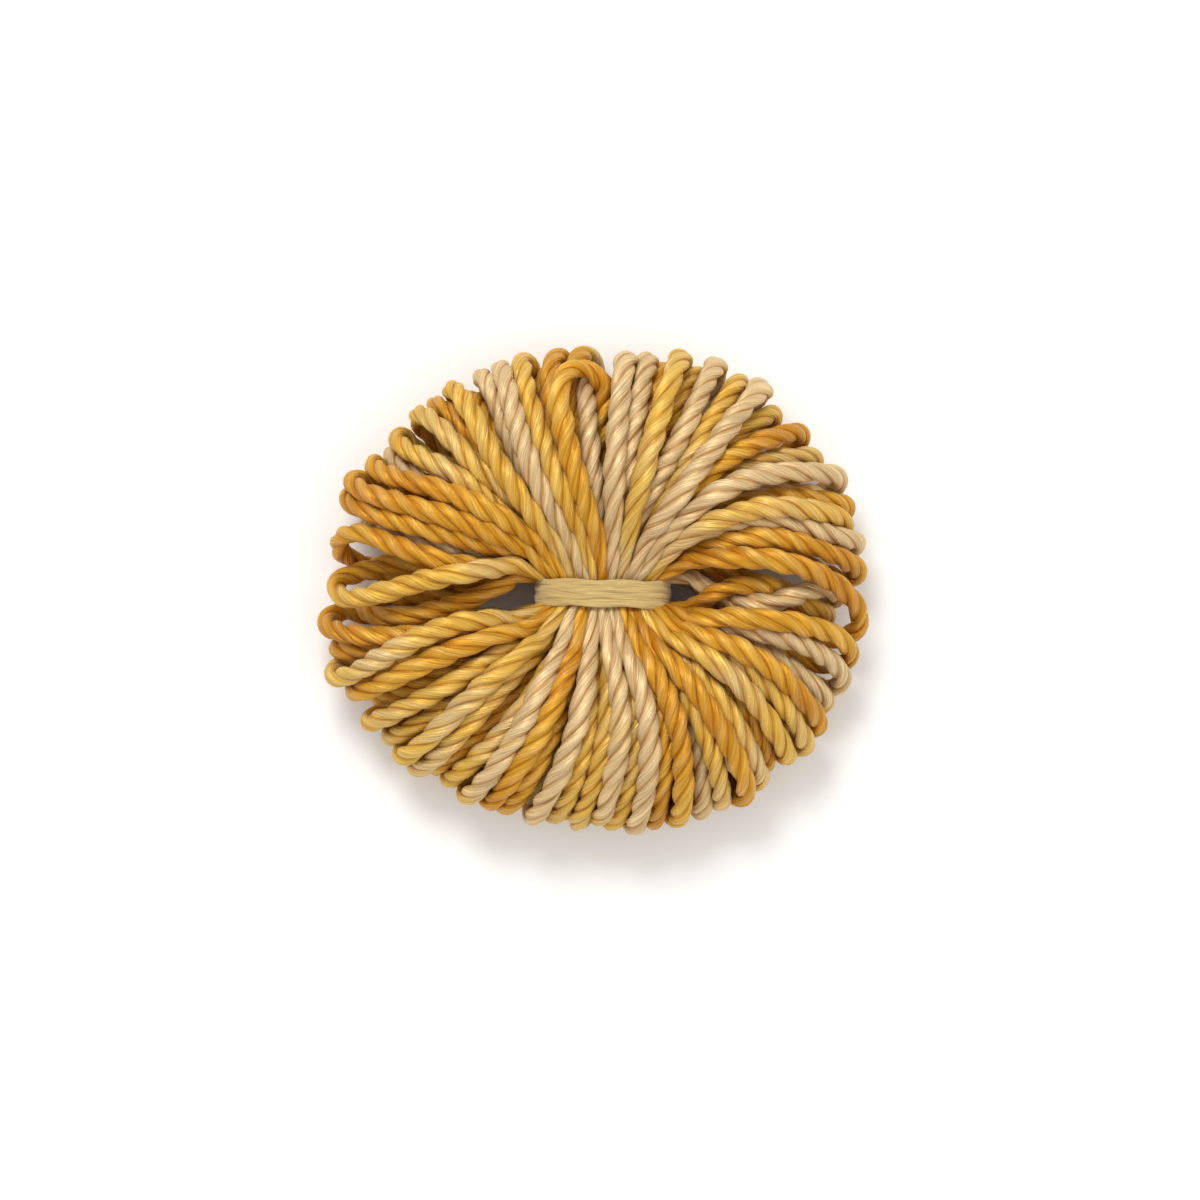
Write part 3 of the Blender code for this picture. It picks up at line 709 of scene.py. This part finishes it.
    def swollen(self, from_root: np.ndarray) -> np.ndarray:
        """Room that the cord takes so far from its root: little at the root, and full beyond."""
        share = np.clip(from_root / self.swell, 0.0, 1.0)
        return self.root_cord + (self.cord - self.root_cord) * share * (2.0 - share)

    def room(self, routes: np.ndarray) -> np.ndarray:
        """Room that the cord takes at each point of its loops."""
        travelled = np.array([lengths_along(route) for route in routes])
        return self.swollen(np.minimum(travelled, travelled[:, -1:] - travelled))

    def near_pairs(self, points: np.ndarray, owners: np.ndarray, steps: np.ndarray
                   ) -> tuple[np.ndarray, np.ndarray]:
        """Find cord points that may press on one another.

        Args:
            points: all the loops' points.
            owners: number of the loop that each belongs to.
            steps: its place along that loop.

        Returns:
            The two points of each pair, by number.
        """
        first, second = [], []
        for start in range(0, len(points), self.pair_block):
            block = points[start:start + self.pair_block]
            gaps = np.linalg.norm(block[:, None, :] - points[None, :, :], axis=2)
            one, other = np.nonzero(gaps < self.cord * self.pair_reach)
            one = one + start
            apart = np.abs(steps[one] - steps[other]) > self.pair_steps
            keep = (one < other) & ((owners[one] != owners[other]) | apart)
            first.append(one[keep])
            second.append(other[keep])
        return np.concatenate(first), np.concatenate(second)

    def settle(self, own: np.ndarray) -> np.ndarray:
        """Let the loops push each other apart, smooth out, rest on the floor and clear the binding.

        Args:
            own: the loops' own routes, [loop, step, xyz], the upper fan's first.

        Returns:
            The settled routes.
        """
        count, length, _ = own.shape
        owners = np.repeat(np.arange(count), length)
        steps = np.tile(np.arange(length), count)
        side = np.where(np.arange(count) < count // 2, 1.0, -1.0)[:, None]
        held = np.ones((count, length, 1))
        held[:, :2] = held[:, -2:] = 0.0
        room = self.room(own)
        flat_room = room.reshape(-1)
        routes = own.copy()
        for turn in range(self.passes):
            if turn % self.relist == 0:
                first, second = self.near_pairs(routes.reshape(-1, 3), owners, steps)
                wanted = (flat_room[first] + flat_room[second]) / 2
            flat = routes.reshape(-1, 3)
            apart = flat[first] - flat[second]
            gap = np.maximum(np.linalg.norm(apart, axis=1), self.least_gap)
            push = apart * (np.maximum(wanted - gap, 0.0) * self.push / gap)[:, None]
            move = np.zeros_like(flat)
            np.add.at(move, first, push)
            np.add.at(move, second, -push)
            move = move.reshape(routes.shape)
            slack = max(0.0, 1.0 - turn / (self.easing * self.passes))
            middle = (routes[:, :-2] + routes[:, 2:]) / 2
            move[:, 1:-1] += (middle - routes[:, 1:-1]) * self.stiffness * slack
            move += (own - routes) * self.pull * slack
            routes += np.clip(move, -self.longest_step, self.longest_step) * held
            routes[..., 2] = np.maximum(routes[..., 2], room * self.floor_share)
            beside = (np.abs(routes[..., 0]) < self.clear_x) & (routes[..., 2] < self.clear_z)
            clear = self.clear_y + room * self.clear_share
            routes[..., 1] = np.where(beside & (routes[..., 1] * side < clear), clear * side, routes[..., 1])
        return routes

    def led_in(self, route: np.ndarray) -> np.ndarray:
        """Lead both ends of a settled route straight in under the binding.

        Args:
            route: the settled route.

        Returns:
            Closely spaced points of the longer route.
        """
        travelled = lengths_along(route)
        free = route[(travelled > self.lead_in) & (travelled < travelled[-1] - self.lead_in)]
        ends = []
        for root in (route[0], route[-1]):
            ends.append([np.array((root[0] * share, math.copysign(y, root[1]), root[2]))
                         for share, y in (self.inmost, self.mouth)])
        return smooth_route(np.vstack([ends[0], free, ends[1][::-1]]), self.lead_samples)

    def radii(self, along: np.ndarray, loop: Loop, chance: np.random.Generator) -> np.ndarray:
        """Find how thick a loop's cord is along its way.

        Args:
            along: distance along it of each ring.
            loop: the loop.
            chance: source of its unevenness.

        Returns:
            The cord's radius at each ring.
        """
        from_tip = along - along[-1] * 0.5
        from_root = np.minimum(along, along[-1] - along) - self.root_depth
        flare = self.root_flare * np.exp(-np.maximum(from_root, 0.0) / self.flare_length)
        radius = self.swollen(from_root) / 2
        radius = radius * (1 + self.crowding * (1 - nearness(from_tip, self.crowding_ends)) + flare)
        radius = radius * (1 + (loop.tier.girth - 1) * (1 - nearness(from_tip, self.girth_ends)))
        return radius * (1 + self.thickness_stray * slow_waves(along, self.thickness_waves, chance))

    def twist(self, along: np.ndarray, chance: np.random.Generator) -> np.ndarray:
        """Find how far the plies have turned along a loop, with the longer lay of its pulled roots.

        Args:
            along: distance along it of each ring.
            chance: source of its unevenness.

        Returns:
            The turn at each ring, in radians.
        """
        past_root = np.maximum(np.minimum(along, along[-1] - along) - self.root_depth, 0.0)
        pulled = 1 + self.root_lay * np.exp(-past_root / self.root_lay_length)
        lay = self.lay * chance.uniform(*self.lay_stray) * pulled
        turn = np.cumsum(2 * math.pi * np.gradient(along) / lay) + chance.uniform(0, 2 * math.pi)
        return turn + self.twist_stray * slow_waves(along, self.twist_waves, chance)

    def section(self, along: np.ndarray, chance: np.random.Generator) -> tuple[np.ndarray, np.ndarray]:
        """Draw the lobed outline of the plies along a loop.

        Args:
            along: distance along it of each ring.
            chance: source of the plies' unevenness.

        Returns:
            Each point's distance from the cord's middle, as a share of its radius, and how deep it lies in
            a groove, both [ring, place].
        """
        places = np.radians(self.ply_places)
        outline = (self.ply_offset * np.cos(places)
                   + np.sqrt(self.ply_size ** 2 - (self.ply_offset * np.sin(places)) ** 2))
        lobes = []
        for _ in range(self.plies):
            fullness = 1 + self.ply_stray * slow_waves(along, self.ply_waves, chance)
            lobes.append(outline[None, :] * fullness[:, None])
        shape = np.concatenate(lobes, axis=1)
        groove = (1 - shape / outline.max()) / (1 - outline.min() / outline.max())
        return shape, np.clip(groove, 0.0, 1.0)

    def dyed(self, along: np.ndarray, loop: Loop, chance: np.random.Generator) -> np.ndarray:
        """Find the depth of the dye along a loop, which can change about its tip.

        Args:
            along: distance along it of each ring.
            loop: the loop.
            chance: source of its unevenness.

        Returns:
            The dye at each ring, as its place on the silk's run of colours.
        """
        from_tip = along - along[-1] * 0.5
        fade = 1 / (1 + np.exp(-(from_tip - chance.uniform(*self.dye_change)) / self.dye_fade))
        dye = loop.dye.value + (loop.tail.value - loop.dye.value) * fade
        return (dye + self.dye_stray * slow_waves(along, self.dye_waves, chance)
                + chance.uniform(-self.dye_lot, self.dye_lot))

    def strand(self, route: np.ndarray, loop: Loop, number: int, sweep: Sweep) -> None:
        """Twist the plies along one settled loop.

        Args:
            route: the loop's settled route.
            loop: the loop.
            number: its number, which keeps its unevenness its own.
            sweep: the mesh that the cord is added to.
        """
        chance = np.random.default_rng(self.first_seed + number)
        whole = self.led_in(route)
        rings = int(lengths_along(whole)[-1] / self.ring_spacing)
        points = fractions_of(whole, np.linspace(0.0, 1.0, rings))
        along = lengths_along(points)
        radius = self.radii(along, loop, chance)
        turn = self.twist(along, chance)
        shape, groove = self.section(along, chance)
        dye = self.dyed(along, loop, chance)
        places = np.radians(self.ply_places)
        angles = np.concatenate([places + 2 * math.pi * ply / self.plies for ply in range(self.plies)])
        phase = angles[None, :] + turn[:, None]
        out = shape * radius[:, None]
        wide = (1 + loop.knob * nearness(along - along[-1] * 0.5, self.knob_length))[:, None]
        ups, sideways = carried_frames(points, np.array((0.0, 0.0, 1.0)))
        ring = (points[:, None, :] + ups[:, None, :] * (out * np.cos(phase))[..., None]
                + sideways[:, None, :] * (out * np.sin(phase) * wide)[..., None])
        ring[..., 2] = np.maximum(ring[..., 2], self.floor_gap)
        local = np.append(places, math.pi / self.plies)
        across = np.stack([local[:-1], local[1:]], axis=1) * self.ply_arc * self.cord / 2
        thread = np.repeat(np.arange(self.plies), len(places)) + self.plies * number
        sweep.add(ring, np.tile(across, (self.plies, 1)), along + self.pattern_gap * number,
                  thread.astype(float), dye, groove)

    def build(self) -> list[bpy.types.Object]:
        """Build the hank.

        Returns:
            One piece for each tier of each fan.
        """
        roots = self.waist_roots()
        fans = (UPPER_FAN, LOWER_FAN)
        own = [self.loop_route(roots, fan, place // 3, loop)
               for fan, loops in enumerate(fans) for place, loop in enumerate(loops)]
        settled = self.settle(np.array(own))
        material = self.finish.material()
        pieces = []
        for fan, loops in enumerate(fans):
            for tier in Tier:
                sweep = Sweep()
                for place, loop in enumerate(loops):
                    if loop.tier is tier:
                        number = fan * len(UPPER_FAN) + place
                        self.strand(settled[number], loop, number, sweep)
                if not sweep.points:
                    continue
                name = f"{('upper', 'lower')[fan]}_fan_{tier.name.lower()}_loops"
                pieces.append(sweep.finish(name, material, "silk_cord", "cord_loops"))
        return pieces


@dataclass
class YarnBinding:
    """Turns of soft yarn wound tightly round the waist."""

    finish: SoftYarnFinish = field(default_factory=SoftYarnFinish)
    half_width: float = 4.7
    half_height: float = 3.5
    roundness: float = 2.6
    wall: float = 0.55
    sections: int = 132
    sides: int = 22
    lay: float = 7.0             # length of one whole turn of its two soft plies
    ply_swell: float = 0.19
    # One turn of yarn each: y on top at the left-hand and the right-hand end, width, and how far out it lies.
    turns: tuple[tuple[float, float, float, float], ...] = (
        (0.72, 0.40, 0.60, 0.00), (0.26, 0.08, 0.54, 0.04), (0.02, -0.62, 0.52, -0.02),
        (-0.30, -0.24, 0.54, 0.05), (-0.60, -0.92, 0.58, 0.00),
    )
    pressed: float = 0.82        # thickness of the yarn, as a share of the binding's wall
    flatness: float = 0.8        # power that squares the yarn's section
    # Waves round a turn: their size, how many there are, and how far the next turn's are shifted.
    wander: tuple[tuple[float, int, float], ...] = ((0.03, 2, 1.0), (0.02, 5, 2.1))
    swelling: tuple[tuple[float, int, float], ...] = ((0.08, 3, 1.7), (0.05, 7, 1.0))
    first_seed: int = 900
    floor_gap: float = 0.01
    pattern_gap: float = 50.0    # how far apart two turns lie in the finish's pattern

    def wavering(self, start: np.ndarray | float, angle: np.ndarray, number: int,
                 waves: tuple[tuple[float, int, float], ...]) -> np.ndarray:
        """Add gentle waves to a measure of one turn of yarn.

        Args:
            start: the measure without them.
            angle: places round the turn.
            number: the turn's number.
            waves: size, count and shift of each wave.

        Returns:
            The measure at each place.
        """
        for size, times, shift in waves:
            start = start + size * np.sin(times * angle + shift * number)
        return start

    def outline(self, angle: np.ndarray, inset: float) -> tuple[np.ndarray, np.ndarray]:
        """Draw the binding's rounded outline.

        Args:
            angle: places round it.
            inset: how far inside its outer face the outline lies.

        Returns:
            Its x and its z at each place.
        """
        wave_x, wave_z = np.cos(angle), np.sin(angle)
        x = (self.half_width - inset) * np.sign(wave_x) * np.abs(wave_x) ** (2 / self.roundness)
        z = (self.half_height - inset) * np.sign(wave_z) * np.abs(wave_z) ** (2 / self.roundness)
        return x, self.half_height + z

    def build(self) -> bpy.types.Object:
        """Build the binding.

        Returns:
            The piece.
        """
        sweep = Sweep()
        for number, (left, right, width, proud) in enumerate(self.turns):
            chance = np.random.default_rng(self.first_seed + number)
            angle = np.linspace(0.0, 2 * math.pi, self.sections + 1)
            thick = self.wall * self.pressed
            x, z = self.outline(angle, thick / 2 - proud)
            drift = 0.5 - 0.5 * x / self.half_width
            y = right + (left - right) * drift
            along = np.concatenate([[0.0], np.cumsum(np.hypot(np.diff(x), np.diff(z)))])
            y = self.wavering(y, angle, number, self.wander)
            width_here = width * self.wavering(1.0, angle, number, self.swelling)
            slope = np.stack([np.gradient(x), np.gradient(z)], axis=1)
            slope /= np.linalg.norm(slope, axis=1, keepdims=True)
            out_x, out_z = slope[:, 1], -slope[:, 0]
            place = np.linspace(0.0, 2 * math.pi, self.sides, endpoint=False)
            turned = 2 * math.pi * along / self.lay + chance.uniform(0, 2 * math.pi)
            lumps = 1 + self.ply_swell * np.cos(2 * (place[None, :] - turned[:, None]))
            rise = 0.5 * thick * np.sign(np.cos(place)) * np.abs(np.cos(place)) ** self.flatness
            ring = np.zeros((len(angle), self.sides, 3))
            ring[..., 0] = x[:, None] + out_x[:, None] * rise[None, :] * lumps
            ring[..., 2] = z[:, None] + out_z[:, None] * rise[None, :] * lumps
            ring[..., 1] = y[:, None] + 0.5 * width_here[:, None] * np.sin(place)[None, :] * lumps
            ring[..., 2] = np.maximum(ring[..., 2], self.floor_gap)
            step = 2 * math.pi / self.sides * width / 2
            across = np.stack([np.arange(self.sides), np.arange(1, self.sides + 1)], axis=1) * step
            sweep.add(ring, across, along + self.pattern_gap * number, np.full(self.sides, float(number)),
                      np.zeros(len(angle)), np.zeros((len(angle), self.sides)))
        return sweep.finish("yarn_binding", self.finish.material(), "binding_yarn", "binding")


@dataclass
class Studio:
    """A plain white sweep, soft light from above and behind, and a camera straight over the tuft."""

    finish: PaleFloorFinish = field(default_factory=PaleFloorFinish)
    field_width: float = 82.9    # width of what the camera takes in, at the height of the tuft's face
    look_at: tuple[float, float] = (-0.2, -0.55)
    face_height: float = 6.0
    camera_height: float = 400.0
    view_depth: float = 5.0      # metres, as are all the sizes below
    floor_reach: float = 1.5
    sky: tuple[float, float, float, float] = (1.0, 1.0, 0.995, 1.0)
    sky_strength: float = 0.74
    # Name, place, side and watts of each lamp.
    lamps: tuple[tuple[str, tuple[float, float, float], float, float], ...] = (
        ("key", (-0.10, 0.30, 0.42), 0.2, 1.5), ("fill", (0.32, -0.22, 0.40), 0.5, 0.5),
    )
    lamp_aim: tuple[float, float, float] = (0, 0, 0.004)

    def build(self) -> None:
        """Build the floor, the lights and the camera."""
        data = bpy.data.meshes.new("floor")
        reach = self.floor_reach
        data.from_pydata([(-reach, -reach, 0), (reach, -reach, 0), (reach, reach, 0), (-reach, reach, 0)],
                         [], [(0, 1, 2, 3)])
        data.materials.append(self.finish.material())
        floor = bpy.data.objects.new("floor", data)
        bpy.context.scene.collection.objects.link(floor)
        world = bpy.data.worlds.new("soft room")
        world.use_nodes = True
        world.node_tree.nodes["Background"].inputs["Color"].default_value = self.sky
        world.node_tree.nodes["Background"].inputs["Strength"].default_value = self.sky_strength
        bpy.context.scene.world = world
        for name, place, size, power in self.lamps:
            self.lamp(name, place, size, power)
        camera_data = bpy.data.cameras.new("camera")
        camera_data.lens = camera_data.sensor_width * self.camera_height / self.field_width
        camera_data.clip_end = self.view_depth
        camera = bpy.data.objects.new("camera", camera_data)
        camera.location = (self.look_at[0] * MM, self.look_at[1] * MM,
                           (self.face_height + self.camera_height) * MM)
        bpy.context.scene.collection.objects.link(camera)
        bpy.context.scene.camera = camera
        bpy.context.scene.view_settings.view_transform = "Standard"

    def lamp(self, name: str, place: tuple[float, float, float], size: float, power: float) -> None:
        """Hang a square soft light that faces the tuft.

        Args:
            name: the light's name.
            place: where it hangs, in metres.
            size: its side, in metres.
            power: its power in watts.
        """
        data = bpy.data.lights.new(name, "AREA")
        data.size, data.energy = size, power
        light = bpy.data.objects.new(name, data)
        light.location = place
        aim = Vector(self.lamp_aim) - Vector(place)
        light.rotation_euler = aim.to_track_quat("-Z", "Y").to_euler()
        bpy.context.scene.collection.objects.link(light)


def main() -> None:
    """Dress the tuft and light it."""
    logging.basicConfig(level=logging.INFO, format="%(name)s: %(message)s")
    Studio().build()
    for piece in CordHank().build() + [YarnBinding().build()]:
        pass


if __name__ == "__main__":
    main()
